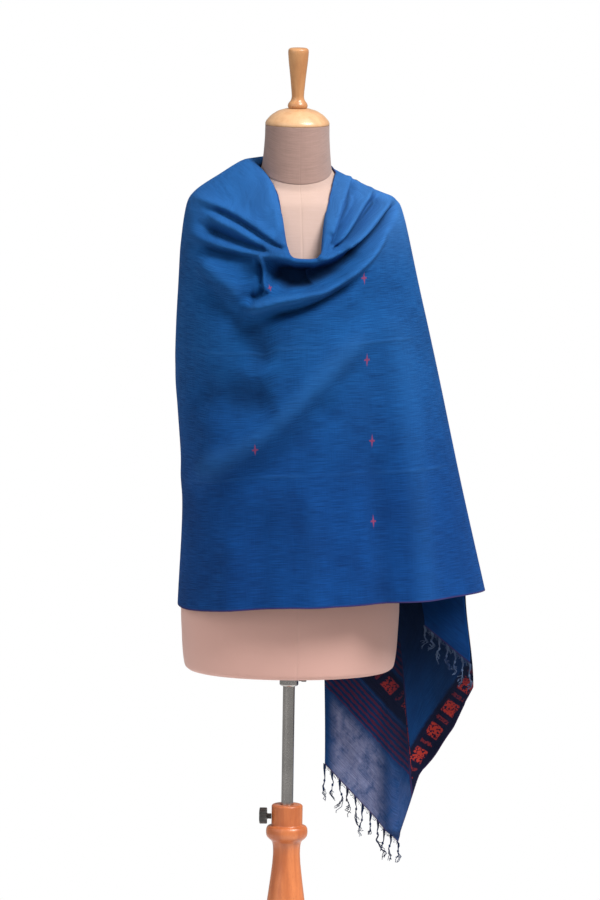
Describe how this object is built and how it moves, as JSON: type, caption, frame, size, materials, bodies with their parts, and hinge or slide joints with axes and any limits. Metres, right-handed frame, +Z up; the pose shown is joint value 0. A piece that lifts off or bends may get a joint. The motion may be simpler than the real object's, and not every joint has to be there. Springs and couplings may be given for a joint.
{
  "type": "fringed shawl on a limbless dress form with a turned stand",
  "caption": "Blue handloom shawl with knotted fringe, draped with a cowl neckline on a limbless dress form that turns and slides on a turned wooden stand.",
  "frame": {"origin": "centre of the round base's underside", "axes": "+Z up along the pole, the shawl's front faces -Y, +X is the right of someone looking at the front"},
  "size_m": [0.5034, 0.4, 1.7165],
  "materials": {
    "shawl_cloth": "handwoven, matte with a slight sheen",
    "shawl_fringe": "twisted and knotted yarn",
    "form_linen": "fine plain linen",
    "neck_linen": "taupe linen",
    "light_wood": "pale varnished wood",
    "stand_wood": "orange varnished wood",
    "pole_metal": "polished",
    "screw_metal": "dark satin",
    "knob_plastic": "black moulded"
  },
  "bodies": {
    "stand": {"base": "stand_wood", "column": "stand_wood"},
    "knob": {"lock_knob": "knob_plastic"},
    "mast": {"pole": "pole_metal"},
    "form": {"torso": "form_linen", "neck": "neck_linen", "neck_cap": "light_wood", "finial": "light_wood", "collar": "pole_metal", "collar_screw": "screw_metal", "shawl_front": "shawl_cloth", "shawl_back": "shawl_cloth", "shawl_end_long": "shawl_cloth", "shawl_end_short": "shawl_cloth", "fringe_long": "shawl_fringe", "fringe_short": "shawl_fringe"}
  },
  "joints": [
    {"name": "height_adjust", "type": "slide", "parent": "stand", "child": "mast", "axis": [0, 0, 1], "range_m": [-0.1, 0.12]},
    {"name": "form_turn", "type": "hinge", "parent": "mast", "child": "form", "pos_m": [0, 0, 0.745], "axis": [0, 0, 1], "continuous": true},
    {"name": "knob_turn", "type": "hinge", "parent": "stand", "child": "knob", "pos_m": [-0.035, 0, 0.515], "axis": [-1, 0, 0], "continuous": true}
  ]
}
